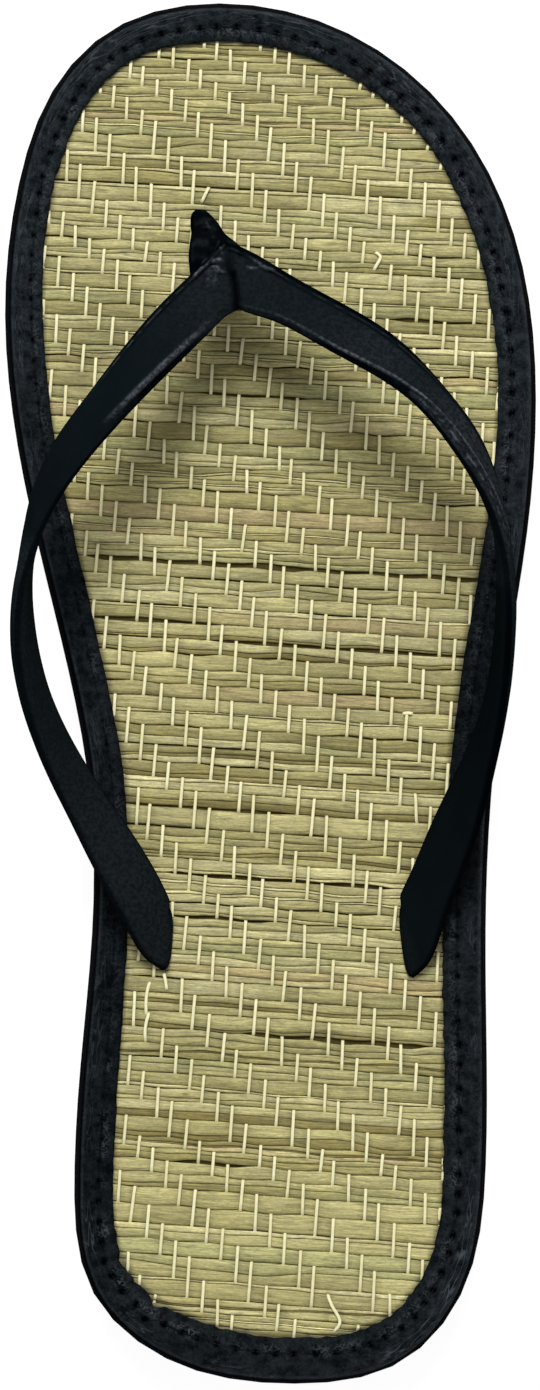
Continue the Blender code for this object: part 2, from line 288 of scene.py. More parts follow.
class Joined:
    """Closed tubes gathered into one mesh, with values for the material at each point."""

    def __init__(self):
        self.points = []
        self.faces = []
        self.values = {}
        self.count = 0

    def add(self, rings, looped=False, **values):
        """A tube through rings of points, closed by two ends or by running in a loop."""
        index = self.count + np.arange(rings[..., 0].size).reshape(rings.shape[:2])
        beside = np.roll(index, -1, axis=1)
        walls = [index, beside, np.roll(beside, -1, axis=0), np.roll(index, -1, axis=0)]
        walls = np.stack(walls, axis=-1)
        if looped:
            self.faces += walls.reshape(-1, 4).tolist()
        else:
            self.faces += walls[:-1].reshape(-1, 4).tolist()
            self.faces += [index[0, ::-1].tolist(), index[-1].tolist()]
        self.points.append(rings.reshape(-1, 3))
        for key, value in values.items():
            self.values.setdefault(key, []).append(value.reshape(index.size, -1))
        self.count += index.size

    def piece(self, name, slot, material):
        """The mesh as a piece of the shoe."""
        mesh = bpy.data.meshes.new(name)
        mesh.from_pydata(np.vstack(self.points) * MM, [], self.faces)
        for key, parts in self.values.items():
            value = np.vstack(parts).astype(np.float32)
            kind, field = ATTRIBUTE_KINDS[value.shape[1]]
            mesh.attributes.new(key, kind, "POINT").data.foreach_set(field, value.ravel())
        mesh.shade_smooth()
        mesh.materials.append(material)
        made = add_object(name, mesh)
        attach(made, "root")
        return made


def tube_piece(name, slot, material, rings, looped=False, **values):
    """A piece that is one tube."""
    shape = Joined()
    shape.add(rings, looped, **values)
    return shape.piece(name, slot, material)


def oval(sides, width, height):
    """An oval's points, across and up."""
    angle = np.arange(sides) * 2 * np.pi / sides
    return np.cos(angle) * width / 2, np.sin(angle) * height / 2


def rings_along(path, across, side, up):
    """Rings along a path of x, y and height, with these points across it and up."""
    x = path[:, :1] + across[:, :1] * side
    y = path[:, 1:2] + across[:, 1:] * side
    return above_foam(x, y, path[:, 2:] + up)


# ---- materials ----


def linear(red, green, blue):
    """A colour given in the usual 0 to 255 steps, as the shader takes it."""
    steps = np.array([red, green, blue]) / 255
    low = steps / 12.92
    high = ((steps + 0.055) / 1.055) ** 2.4
    return (*np.where(steps <= 0.04045, low, high), 1.0)



class Paint:
    """A material and its nodes."""

    def __init__(self, name, roughness, gloss):
        self.material = bpy.data.materials.new(name)
        self.material.use_nodes = True
        self.tree = self.material.node_tree
        self.shader = self.tree.nodes["Principled BSDF"]
        self.roughness(roughness)
        self.put(self.shader.inputs["Specular IOR Level"], gloss)

    def put(self, socket, value):
        """Link a socket, or set it to a plain value."""
        if isinstance(value, bpy.types.NodeSocket):
            self.tree.links.new(value, socket)
        else:
            socket.default_value = value

    def node(self, kind, inputs=None, **settings):
        """A new node, with its inputs by name or number."""
        made = self.tree.nodes.new("ShaderNode" + kind)
        for key, value in settings.items():
            setattr(made, key, value)
        for key, value in (inputs or {}).items():
            self.put(made.inputs[key], value)
        return made

    def value(self, name, output="Fac"):
        """A value that the mesh carries at each point."""
        return self.node("Attribute", attribute_name=name).outputs[output]

    def places(self):
        """Places on the shoe, in millimetres."""
        here = self.node("TexCoord").outputs["Object"]
        return self.scaled(here, (1 / MM, 1 / MM, 1 / MM))

    def scaled(self, vector, scale=(1, 1, 1), shift=(0, 0, 0)):
        inputs = {"Vector": vector, "Scale": scale, "Location": shift}
        return self.node("Mapping", inputs).outputs[0]

    def noise(self, vector, size, detail=2, rough=0.5):
        """Cloudy noise from 0 to 1, in lumps of this size."""
        inputs = {"Vector": vector, "Scale": 1 / size, "Detail": detail, "Roughness": rough}
        return self.node("TexNoise", inputs).outputs["Fac"]

    def cells(self, vector, size):
        """Cells of this size, 0 in their middles."""
        return self.node("TexVoronoi", {"Vector": vector, "Scale": 1 / size}).outputs["Distance"]

    def range(self, value, low, high, to_low=0, to_high=1):
        """A value carried from one range to another, and held inside it."""
        ends = {"From Min": low, "From Max": high, "To Min": to_low, "To Max": to_high}
        return self.node("MapRange", {"Value": value, **ends}).outputs["Result"]

    def lines(self, vector, size, width):
        """Thin lines, 1 in their middle, that run along the level lines of a noise."""
        level = self.noise(vector, size, 1)
        away = self.math("ABSOLUTE", self.math("SUBTRACT", level, 0.5))
        return self.range(away, 0, width, 1, 0)

    def math(self, operation, first, second=0):
        return self.node("Math", {0: first, 1: second}, operation=operation).outputs[0]

    def mix(self, factor, first, second):
        """A colour between two others."""
        return self.node("Mix", {0: factor, 6: first, 7: second}, data_type="RGBA").outputs[2]

    def times(self, colour, value):
        """A colour made darker or lighter by a value."""
        return self.node("VectorMath", {0: colour, "Scale": value}, operation="SCALE").outputs[0]

    def colour(self, value):
        self.put(self.shader.inputs["Base Color"], value)

    def roughness(self, value):
        self.put(self.shader.inputs["Roughness"], value)

    def bump(self, height, depth):
        """Bumps of this depth in millimetres, where height goes from 0 to 1."""
        made = self.node("Bump", {"Height": height, "Distance": depth * MM, "Strength": 1})
        self.put(self.shader.inputs["Normal"], made.outputs["Normal"])


def rush_material():
    """Split rush: streaks, flecks, cracks and painted glints along each strand, a painted highlight
    along its toe-side edge and painted shade along its heel-side edge.
    """
    paint = Paint("rush", 0.62, 0.35)
    fibre = paint.value("fibre", "Vector")

    def along(share, shift):
        """Places on the strand, drawn out along it and shifted to a part of the noise."""
        return paint.scaled(fibre, (share, 1, 1), (0, 0, shift))

    broad = paint.noise(along(0.04, 0), 0.6, 3, 0.6)
    fine = paint.noise(along(0.12, 31), 0.2, 2, 0.6)
    fleck = paint.noise(along(0.5, 53), 0.3, 3, 0.7)
    cracks = paint.lines(along(0.05, 71), 0.8, 0.05)
    nicks = paint.lines(along(0.14, 83), 0.45, 0.05)
    # painted glints: thin pale lines along the strands
    glints = paint.lines(along(0.06, 97), 0.8, 0.045)
    shade = paint.value("tint", "Color")
    for level in (
        paint.range(broad, 0.3, 0.7, 0.82, 1.14),
        paint.range(fine, 0.25, 0.75, 0.78, 1.2),
        paint.range(fleck, 0.3, 0.7, 0.82, 1.16),
        paint.range(cracks, 0, 1, 1.03, 0.66),
        paint.range(nicks, 0, 1, 1.02, 0.8),
        paint.range(glints, 0, 1, 0.98, 1.26),
    ):
        shade = paint.times(shade, level)
    # painted highlight along each strand's toe-side edge and painted shade along its heel-side edge
    edge = paint.node("ValToRGB", {"Fac": paint.value("side")})
    ramp = edge.color_ramp.elements
    ramp[0].color = (0.55, 0.55, 0.55, 1)
    ramp[1].color = (1.08, 1.08, 1.08, 1)
    for position, level in ((0.09, 0.82), (0.25, 0.97), (0.8, 1.0), (0.92, 1.14)):
        ramp.new(position).color = (level, level, level, 1)
    paint.colour(paint.times(shade, edge.outputs["Color"]))
    paint.bump(paint.math("ADD", broad, fine), 0.05)
    return paint.material


def thread_material():
    """Cream warp thread with a faint twist."""
    paint = Paint("warp_thread", 0.7, 0.25)
    ply = paint.noise(paint.scaled(paint.value("fibre", "Vector"), (0.35, 1, 1)), 0.25)
    paint.colour(paint.times(paint.value("tint", "Color"), paint.range(ply, 0.3, 0.7, 0.9, 1.05)))
    paint.bump(ply, 0.03)
    return paint.material


def backing_material():
    """The cloth below the rush, seen only between strands, coloured dark as painted shade for the
    gaps.
    """
    paint = Paint("mat_backing", 0.9, 0.1)
    weave = paint.noise(paint.places(), 0.5)
    # painted shade: the cloth's dark colour stands for the shade between strands
    paint.colour(paint.mix(weave, linear(58, 50, 24), linear(88, 77, 40)))
    paint.bump(weave, 0.1)
    return paint.material


def binding_material():
    """Black grained binding, blotched, with pale specks of dust and painted sheen, painted
    highlights on its outer roll and creases, and painted shade in the stitch holes, along the stitch
    groove and below the roll.
    """
    paint = Paint("binding", 0.5, 0)
    places = paint.places()
    grain = paint.noise(places, 0.4, 3, 0.65)
    blotch = paint.noise(places, 1.7, 4, 0.65)
    speck = paint.noise(paint.scaled(places, shift=(31, 0, 0)), 0.45, 2, 0.6)
    wrinkles = paint.lines(paint.scaled(places, shift=(0, 47, 0)), 1.5, 0.05)
    streaks = paint.lines(paint.scaled(paint.value("band", "Vector"), (0.16, 1, 1)), 1, 0.04)
    base = paint.mix(paint.range(blotch, 0.35, 0.65), linear(11, 16, 19), linear(34, 39, 42))
    base = paint.times(base, paint.range(grain, 0.3, 0.7, 0.62, 1.45))
    base = paint.times(base, paint.value("tone"))
    marks = paint.math("MAXIMUM", paint.range(speck, 0.52, 0.66), wrinkles)
    dusty = paint.math("MULTIPLY", paint.value("dust"), marks)
    # pale specks: painted sheen on the outer roll, and dust and painted sheen on the gathered strip
    base = paint.mix(dusty, base, linear(96, 102, 108))
    # painted highlights: streaks along the strip's creases, and a line along the top of the outer
    # roll
    streaks = paint.math("MULTIPLY", streaks, paint.value("fold"))
    light = paint.math("MAXIMUM", streaks, paint.value("rim"))
    base = paint.mix(light, base, linear(92, 98, 106))
    # painted shade in the stitch holes, along the stitch groove and below the outer roll
    paint.colour(paint.mix(paint.value("hole"), base, linear(2, 2, 3)))
    paint.roughness(paint.range(grain, 0.3, 0.7, 0.42, 0.62))
    paint.bump(paint.math("ADD", grain, blotch), 0.12)
    return paint.material


def strap_material():
    """Black soft leather-cloth with a fine grain, with painted highlights broken into patches and
    painted shade.
    """
    paint = Paint("strap", 0.55, 0)
    places = paint.places()
    grain = paint.noise(places, 0.3, 3, 0.6)
    cloud = paint.noise(places, 6)
    scuff = paint.noise(paint.scaled(places, shift=(0, 0, 17)), 0.7, 3, 0.6)
    base = paint.mix(cloud, linear(9, 15, 17), linear(15, 21, 24))
    # painted highlights, broken into patches
    worn = paint.math("MULTIPLY", paint.value("worn"), paint.range(scuff, 0.4, 0.6, 0.25, 1))
    base = paint.mix(worn, base, linear(108, 114, 122))
    # painted shade
    paint.colour(paint.mix(paint.value("dark"), base, linear(2, 4, 6)))
    paint.roughness(paint.range(grain, 0.3, 0.7, 0.48, 0.64))
    paint.bump(paint.math("ADD", grain, paint.math("MULTIPLY", paint.cells(places, 0.5), 0.5)), 0.04)
    return paint.material


def foam_material():
    """Matt black foam with a faint cell texture."""
    paint = Paint("foam", 0.8, 0)
    places = paint.places()
    cells = paint.cells(places, 0.45)
    paint.colour(paint.mix(paint.noise(places, 8, 3), linear(10, 11, 13), linear(20, 21, 24)))
    paint.roughness(paint.range(cells, 0, 0.6, 0.68, 0.88))
    paint.bump(cells, 0.06)
    return paint.material


# ---- the rush mat ----


def mat_place(column, b):
    """x and y of a place in the weave, from its column and its distance towards the toe."""
    spread = np.clip((SPREAD_START - b) / SPREAD_LENGTH, 0, None)
    a = STRAIGHT_COLUMN_AT + (column - STRAIGHT_COLUMN) * (COLUMN_PITCH + COLUMN_SPREAD * spread**2)
    b = b * (1 + (a - CHART_COLUMN_AT) * ROW_FAN)
    turn_x, turn_y = math.cos(WEAVE_TURN), math.sin(WEAVE_TURN)
    return a * turn_x + b * turn_y, b * turn_x - a * turn_y


def pick_edges(random):
    """Where each pick begins along column 0, from the toe to the heel."""
    edges = [CHART_START]
    for pair in CHART:
        for length in pair:
            start = edges[-1]
            edges += [start - length * random.uniform(0.44, 0.56), start - length]
    return np.array(edges)


def row_line(edges, edge, column):
    """The line between two picks: threads pull it in at each end of their floats."""
    wave = ROW_WAVE * (1 + scatter(np.array([edge]), 41))
    line = edges[edge] - wave * np.cos(np.pi / 2 * (edge - column))
    return line + ROW_WANDER * lumps(column, 2.3, 100 + edge)


# Towards the heel the rush is also painted paler, as painted light, and its painted edge shading is
# weaker.
SMOOTH_HEEL = -72.0  # where the mat is flatter and paler, towards the heel
# Where the gap between two picks gapes.
OPEN_GAPS = (
    # pick below it, first column, last column, half width
    (25, 9, 16, 0.3), (31, -4, 4, 0.3), (43, -11, 5, 0.48), (43, 4, 18, 0.28),
    (47, -10, -1, 0.4), (48, -2, 17, 0.33), (59, -7, 5, 0.25), (63, -4, 12, 0.33),
    (66, -6, 4, 0.2), (73, 2, 15, 0.42), (82, -2, 4, 0.25),
)


def pick_gaps(random, edges):
    """How wide the gap beside each pick opens: most stay shut, and some open a little."""
    widths = np.where(random.random(len(edges)) < 0.6, 0.03, 0.12)
    return widths * np.where(edges < SMOOTH_HEEL, 0.4, 1.0)


def gap_beside(gaps, edge, column):
    """Half the gap between two picks, which opens and closes along it."""
    width = gaps[edge] * smooth(0.4 + 0.8 * lumps(column, 3.0, 500 + edge))
    for open_edge, first, last, half_width in OPEN_GAPS:
        if open_edge == edge:
            ends = smooth((column - first) / 1.5) * smooth((last - column) / 1.5)
            width = width + half_width * ends * (0.8 + 0.4 * lumps(column, 1.7, 600 + edge))
    return 0.015 + width


# A strand's section: how far across it each point is, and its height as a share.
STRAND_SHARES = np.array([0.08, 0.92, 1.0, 0.91, 0.64, 0.36, 0.09, 0.0])
STRAND_ROUND = np.array([0.0, 0.0, 0.65, 0.94, 1.0, 1.0, 0.92, 0.55])
COLUMN_STEPS = np.array([-0.24, -0.1, 0.1, 0.24, 0.5])  # where it has sections round a column
SPLIT = 0.02  # half the crack between two strands of a pick

RUSH = (
    # chance, colour
    (0.34, (180, 172, 117)), (0.25, (166, 158, 104)), (0.18, (193, 185, 133)),
    (0.12, (149, 140, 85)), (0.06, (167, 164, 110)), (0.05, (175, 160, 111)),
)
# Strands that aren't plain: two colours, and how far they lie above the others.
ODD_STRANDS = {
    "light": ((216, 208, 156), (199, 190, 137), 0.1),
    "dark": ((120, 108, 56), (142, 131, 77), -0.18),
}
KIND_WIDTHS = {"plain": (0.7, 1.4), "dark": (0.3, 0.55), "light": (0.2, 0.38)}
# How a pick can split into strands from the toe to the heel.
SPLITS = (
    # chance, strands
    (0.30, ("plain",)),
    (0.26, ("plain", "plain")),
    (0.10, ("light", "plain")),
    (0.09, ("plain", "light")),
    (0.08, ("plain", "dark")),
    (0.09, ("plain", "dark", "plain")),
    (0.08, ("plain", "light", "plain")),
)


def drawn(random, table, count=None):
    """Numbers of rows drawn from a table whose rows start with their chances."""
    chances = np.array([row[0] for row in table])
    return random.choice(len(table), count, p=chances / chances.sum())


def strand_tint(random, kind):
    """A strand's two colours, which it changes between along its length, and its lift."""
    if kind in ODD_STRANDS:
        first, second, lift = ODD_STRANDS[kind]
    else:
        first, second = (RUSH[row][1] for row in drawn(random, RUSH, 2))
        lift = 0.0
    return np.array(linear(*first)), np.array(linear(*second)), lift


def pick_strands(random):
    """How a pick splits into strands: (start, end, kind) as shares of its width."""
    kinds = SPLITS[drawn(random, SPLITS)][1]
    cuts = np.cumsum([0.0] + [random.uniform(*KIND_WIDTHS[kind]) for kind in kinds])
    cuts /= cuts[-1]
    return list(zip(cuts[:-1], cuts[1:], kinds))


def strand_line(weave, pick, share, column):
    """A line along a pick, at a share of the way from its toe side to its heel side."""
    edges, gaps = weave
    top = row_line(edges, pick, column) - gap_beside(gaps, pick, column)
    bottom = row_line(edges, pick + 1, column) + gap_beside(gaps, pick + 1, column)
    wander = 0.8 * share * (1 - share) * lumps(column, 4.3, 300 + pick)
    return top + (bottom - top) * (share + wander)


def strand_columns(weave, pick, start, end):
    """The columns that a strand is sampled at, between its ends below the band."""
    wide = np.arange(*COLUMNS, 0.05)
    middle = (strand_line(weave, pick, start, wide) + strand_line(weave, pick, end, wide)) / 2
    inside = room_inside(*mat_place(wide, middle), STRAND_ENDS) > 0
    if inside.sum() < 20:
        return None
    first, last = wide[inside][[0, -1]]
    whole = np.arange(math.floor(first) - 1, math.ceil(last) + 2)
    steps = np.sort((whole[:, None] + COLUMN_STEPS).ravel())
    steps = steps[(steps > first + 0.05) & (steps < last - 0.05)]
    return np.concatenate([[first], steps, [last]])


def near_thread(pick, column):
    """1 below a thread that lies over this pick, falling to 0 beside it."""
    nearest = np.round(column)
    over = (pick - nearest) % REPEAT < 2
    return over * bell((column - nearest) * COLUMN_PITCH, 0.7)


def crossing_lift(pick, column):
    """How a pick rises where it is free and is pressed down under each thread."""
    free = 0.5 + 0.5 * np.cos(np.pi / 2 * (column - pick - 1.5))
    return CROSSING_RISE * (free - 0.5) - THREAD_PRESS * near_thread(pick, column)


def cell_tone(pick, column, seed):
    """How bright a strand is: each stretch between its threads has its own tone, with painted shade
    beside and below each thread that lies over the pick.
    """
    turn = (column - pick) % REPEAT
    sunk = turn > REPEAT - 1
    cell = np.floor((column - pick) / REPEAT) * 2 + sunk
    places = np.stack([cell, np.full(cell.shape, seed % 1000)], axis=-1)
    # painted shade: up to a quarter darker beside and below each thread over this pick
    return (1 - 0.1 * sunk + 0.12 * scatter(places, 77)) * (1 - 0.25 * near_thread(pick, column))


# Broad places where the rush is painted darker or paler: painted shade beside and below the strap,
# and broad changes of tone elsewhere.
TONES = (
    # x, y, half width across, half width along, how much paler
    (16, 12, 20, 22, -0.13), (14, -5, 20, 3, -0.09), (-20, 7, 12, 4, 0.12),
    (9, 22, 18, 3, -0.12), (-31, 67, 9, 7, -0.26), (-36, 57, 4, 4, -0.16),
    (20, 66, 8, 5, -0.08), (7, 76, 10, 5, -0.14), (-5, 49, 10, 9, -0.11),
    (-35, 31, 4, 4, -0.13),
)


def tone_at(x, y):
    """How bright the rush is at a place: broad painted shade and tone, and painted shade along the
    band's edge, where the band shades it.
    """
    tone = 1
    for middle_x, middle_y, across, along, paler in TONES:
        tone = tone + paler * bell(np.hypot((x - middle_x) / across, (y - middle_y) / along), 1)
    # painted shade along the band's inner edge
    beside_band = 1 - 0.6 * smooth(1 - room_inside(x, y, BAND_RING) / 1.4)
    return beside_band * tone


def strand_height(pick, columns, lift, tilt, inside, seed):
    """Heights of a strand's sections: they dip under threads and go in under the band."""
    along = columns * COLUMN_PITCH
    top = STRAND_TOP + lift + crossing_lift(pick, columns) + 0.07 * lumps(along, 7.0, seed)
    sides = reversed(range(len(STRAND_SHARES)))
    crease = np.column_stack([0.05 * lumps(along, 4.0, seed + side) for side in sides])
    height = top[:, None] + tilt * (STRAND_SHARES - 0.5) + crease
    press = smooth(1 - (inside + 0.4) / 1.6)
    height = height - press * np.clip(height - PRESSED_TOP, 0, None)
    return STRAND_BASE + (height - STRAND_BASE) * STRAND_ROUND


def add_strand(shape, weave, pick, strand, random):
    """One strand of a pick, with the places and colours that its material needs."""
    start, end, kind = strand
    seed = int(random.integers(1, 10**6))
    columns = strand_columns(weave, pick, start, end)
    first, second, lift = strand_tint(random, kind)
    lift += random.uniform(-0.07, 0.07)
    tilt = random.uniform(-0.09, 0.09)
    if columns is None:
        return
    low = strand_line(weave, pick, end, columns) + SPLIT * (end < 1)
    high = strand_line(weave, pick, start, columns) - SPLIT * (start > 0)
    across = (high - low)[:, None] * STRAND_SHARES
    x, y = mat_place(columns[:, None], low[:, None] + across)
    height = strand_height(pick, columns, lift, tilt, room_inside(x, y, BAND_RING), seed)
    along = columns * COLUMN_PITCH
    fibre = np.stack(np.broadcast_arrays(along[:, None], across, seed % 997 * 7.3), axis=-1)
    heel = smooth((SMOOTH_HEEL + 15 - y.mean(axis=1)) / 30)
    blend = smooth(0.5 + 0.8 * lumps(along, 18.0, seed + 11))[:, None, None]
    # painted light: towards the heel the rush is painted paler, standing for stronger light there
    tone = ((1 + 0.11 * heel) * cell_tone(pick, columns, seed))[:, None, None]
    tint = (first + (second - first) * blend) * tone * tone_at(x, y)[..., None]
    # the side value carries each strand's painted edge highlight and shade, weaker towards the heel
    side = STRAND_SHARES + (0.5 - STRAND_SHARES) * 0.14 * heel[:, None]
    shape.add(above_foam(x, y, height), fibre=fibre, tint=tint, side=side)


MAT_PIECES = ("rush_toe", "rush_ball", "rush_arch", "rush_heel")


def make_mat():
    """The rush strands, in pieces from the toe to the heel. Returns the picks' edges."""
    random = np.random.default_rng(11)
    edges = pick_edges(random)
    weave = edges, pick_gaps(random, edges)
    material = rush_material()
    ends = np.arange(len(MAT_PIECES) + 1) * (len(edges) - 1) // len(MAT_PIECES)
    for name, first, last in zip(MAT_PIECES, ends[:-1], ends[1:]):
        shape = Joined()
        for pick in range(first, last):
            for strand in pick_strands(random):
                add_strand(shape, weave, pick, strand, random)
        shape.piece(name, "rush", material)
    return edges


THREAD_COLOURS = ((247, 241, 196), (232, 224, 174))
# How a float goes down through the mat at both ends, at places along it.
FLOAT_SHARES = np.array([0, 0, 0, 0.25, 0.5, 0.75, 1, 1, 1])
FLOAT_STEPS = np.array([0.9, 0.15, -0.35, 0, 0, 0, 0.35, -0.15, -0.9])
FLOAT_DROPS = np.array([1.3, 0.55, 0.06, 0, 0, 0, 0.06, 0.55, 1.3])
# Threads that have slipped: each takes the place of those whose middle it passes.
LOOSE_THREADS = (
    # x, y from the toe end to the heel end
    ((-11.3, 93.6), (-12.0, 92.2), (-12.8, 90.5)),
    ((19.1, 81.6), (20.3, 80.7), (19.7, 79.3), (19.0, 78.0)),
    ((10.5, -110.6), (11.6, -113.3), (12.8, -115.9), (11.3, -117.9)),
    ((-21.9, -52.4), (-22.5, -54.0), (-22.9, -59.6)),
    ((-19.7, -51.4), (-19.3, -53.2), (-19.1, -54.8)),
    ((-22.3, -58.6), (-23.1, -62.0), (-23.0, -64.3)),
    ((24.3, -3.8), (25.3, -3.6), (26.4, -3.8)),
)
LOOSE_REACH = 1.7  # how near to them those middles are


def add_thread(shape, random, path, tint):
    """A flat thread along a path of x, y and height above the foam."""
    ahead = unit(np.gradient(path[:, :2], axis=0))
    across = np.column_stack([-ahead[:, 1], ahead[:, 0]])
    side, up = oval(8, THREAD_WIDTH, THREAD_HEIGHT)
    rings = rings_along(path, across, side, up)
    own = random.integers(1, 900) * 3.1
    fibre = np.stack(np.broadcast_arrays(lengths_along(path)[:, None], side, own), axis=-1)
    shape.add(rings, fibre=fibre, tint=np.broadcast_to(tint, (*rings.shape[:2], 4)))


def float_ends(random, edges, column, edge):
    """Where a thread's float starts and ends, or None where the band covers it."""
    here = np.array([float(column)])
    start = row_line(edges, edge, here)[0] - random.uniform(-0.05, 0.15)
    end = row_line(edges, edge + 2, here)[0] + random.uniform(-0.05, 0.15)
    reach = np.linspace(start, end, 25)
    clear = reach[room_inside(*mat_place(column, reach), THREAD_ENDS) > 0]
    return clear[[0, -1]] if len(clear) > 8 else None


def add_float(shape, random, column, ends, loose, colours):
    """A thread where it floats over two picks, unless a loose one takes its place."""
    tilt = np.linspace(-1, 1, len(FLOAT_STEPS))
    bend = random.normal(0, 0.05) + random.normal(0, 0.035) * tilt
    x, y = mat_place(column + bend, ends[0] + (ends[1] - ends[0]) * FLOAT_SHARES + FLOAT_STEPS)
    blend = random.random()
    lift = random.uniform(-0.08, 0.04)
    middle = x[len(x) // 2], y[len(y) // 2]
    if min(np.hypot(*(line - middle).T).min() for line in loose) < LOOSE_REACH:
        return
    below_band = 0.8 * smooth(1 - (room_inside(x, y, BAND_RING) + 0.3))
    path = np.column_stack([x, y, THREAD_CENTRE + lift - np.maximum(FLOAT_DROPS, below_band)])
    add_thread(shape, random, path, colours[0] + (colours[1] - colours[0]) * blend)


def make_threads(edges):
    """The cream threads where they float over two picks, and the loose ones."""
    random = np.random.default_rng(23)
    shape = Joined()
    colours = [np.array(linear(*colour)) for colour in THREAD_COLOURS]
    loose = [cubic_through(line)(np.linspace(0, 1, 12)) for line in LOOSE_THREADS]
    for line in loose:
        drop = 0.9 * np.abs(np.linspace(-1, 1, len(line))) ** 6
        add_thread(shape, random, np.column_stack([line, THREAD_CENTRE - drop]), colours[0])
    for column in range(*COLUMNS):
        for edge in range(column % REPEAT, len(edges) - 2, REPEAT):
            ends = float_ends(random, edges, column, edge)
            if ends is not None:
                add_float(shape, random, column, ends, loose, colours)
    shape.piece("warp_threads", "rush", thread_material())


BACKING_SIDE = (
    # inset, height
    (6.3, 0.2), (6.1, 1.4), (2.3, 1.4), (2.0, 1.8), (2.0, 2.1), (2.3, 2.3),
)
BACKING_PLACES = 200  # round the outline
BACKING_RINGS = np.linspace(0.03, 0.97, 24)  # its inner rings, as shares of its outline


def make_backing():
    """The cloth that the rush lies on, which stands for the CAD insole."""
    step = FINE // BACKING_PLACES

    def ring(inset, height, share=1.0):
        x, y = (OUTLINE[::step] + INWARD[::step] * inset).T * share
        return above_foam(x, y, height)

    rings = [ring(*BACKING_SIDE[0], share) for share in BACKING_RINGS]
    rings += [ring(*corner) for corner in BACKING_SIDE]
    rings += [ring(*BACKING_SIDE[-1], share) for share in BACKING_RINGS[::-1]]
    piece = tube_piece("mat_backing", "rush", backing_material(), np.array(rings))
    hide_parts("insole")


# ---- the binding ----

BINDING_STEP = 0.32
# The binding's section from its end below the mat round to the strip on top, and from the
# strip's inner edge back in.
BINDING_OUTER = (
    # inset, height
    (5.7, 0.15), (1.75, 0.15), (1.2, 0.35), (0.95, 0.9), (0.9, 1.6),
    (0.92, 2.4), (1.08, 3.1), (1.45, 3.62), (1.95, 3.92),
)
BINDING_INNER = (
    (2.4, 3.0), (1.75, 2.75), (1.6, 2.2), (1.7, 1.5), (2.1, 1.15), (5.7, 1.15),
)
STRIP_SHARES = np.linspace(0, 1, 22)[1:-2]  # the strip's rows, from its outer side in
STRIP_TOP = 4.15
# The lip that the strip ends in.
LIP_TOP = 3.75
LIP_EDGE = 3.35
LIP_UNDER = 3.0
STITCH_PITCH = 4.0
STITCH_WIDTH = 0.4
STITCH_LEVEL = STRIP_TOP - 0.28
STITCH_SHARES = (0, 0.12, 0.3, 0.7, 0.88, 1)  # places on the way from hole to hole
STITCH_DROPS = np.array([0.55, 0.14, 0, 0, 0.14, 0.55])
HOLE_SIZE = 0.36
HOLE_SPREAD = 0.22  # how much larger the holes are where the strip is gathered
HOLE_DEPTH = 0.5
# How far the stitches lie from the band's inner edge, how much the strip inside them is
# gathered and how pale it is, round the shoe from the toe tip down the inner side.
GATHERS = (
    # x, y, stitches, gather, tone
    (-10.8, 127.5, 2.6, 0.9, 1), (-40.2, 111.6, 2.3, 0.7, 1.15), (-49.1, 72.8, 2.1, 0.5, 1.15),
    (-45.6, 39.5, 2.1, 0.4, 0.72), (-37, 6.2, 2.2, 0.35, 0.75), (-32.8, -42, 2.3, 0.3, 0.6),
    (-36.2, -90, 2.6, 0.5, 0.62), (-32.8, -110.5, 2.9, 1.2, 0.85), (4, -127.5, 3, 0.8, 0.9),
    (35.6, -110.3, 2.9, 1.2, 0.95), (39.8, -45, 2.6, 0.5, 0.85), (40.5, -22, 2.6, 0.4, 0.5),
    (43, 0.6, 2.6, 0.4, 0.5), (45.5, 15, 2.6, 0.4, 0.7), (47.6, 30, 2.6, 0.6, 1.05),
    (49.1, 52, 2.6, 0.9, 1.2), (34.3, 106, 2.4, 0.9, 1.15),
)
# Notches in the strip's inner edge where it is gathered round the heel.
NOTCHES = (
    # x, y, depth, half width
    (-27.6, -104.9, 0.9, 1.4),
    (-20.1, -111.4, 1.5, 1.5),
)


def round_outline(table):
    """Columns of a table of places round the outline, carried all round it."""
    table = np.array(table)
    gaps = np.linalg.norm(table[:, None, :2] - OUTLINE[None], axis=2)
    at = gaps.argmin(axis=1)
    return [np.interp(np.arange(FINE), at, column, period=FINE) for column in table.T[2:]]


STITCH_LINE, GATHER, TONE = round_outline(GATHERS)


def stitch_holes():
    """Where the stitch holes lie, as lengths round the outline."""
    count = int(OUTLINE_LENGTH / STITCH_PITCH)
    whole = np.arange(count)
    return (whole + 0.12 * scatter(whole[:, None], 3)) * OUTLINE_LENGTH / count


HOLES = stitch_holes()


def binding_edge(pick):
    """Each place's way to a stitch hole, and the strip's bulge, ripple and inner edge."""
    points = OUTLINE[pick]
    half = OUTLINE_LENGTH / 2
    to_holes = (pick[:, None] * OUTLINE_LENGTH / FINE - HOLES + half) % OUTLINE_LENGTH - half
    to_hole = np.abs(to_holes).min(axis=1)
    bulge = -np.cos(2 * np.pi * to_hole / STITCH_PITCH)
    ripple = lumps(points, 1.9, 5) + 0.5 * lumps(points, 1.0, 6)
    edge = BAND[pick] + (0.15 * ripple + 0.07 * bulge) * GATHER[pick] + 0.12 * lumps(points, 6.0, 8)
    x, y = (points + INWARD[pick] * BAND[pick, None]).T
    for middle_x, middle_y, depth, half_width in NOTCHES:
        edge = edge - depth * bell(np.hypot(x - middle_x, y - middle_y), half_width)
    return to_hole, bulge, ripple, edge


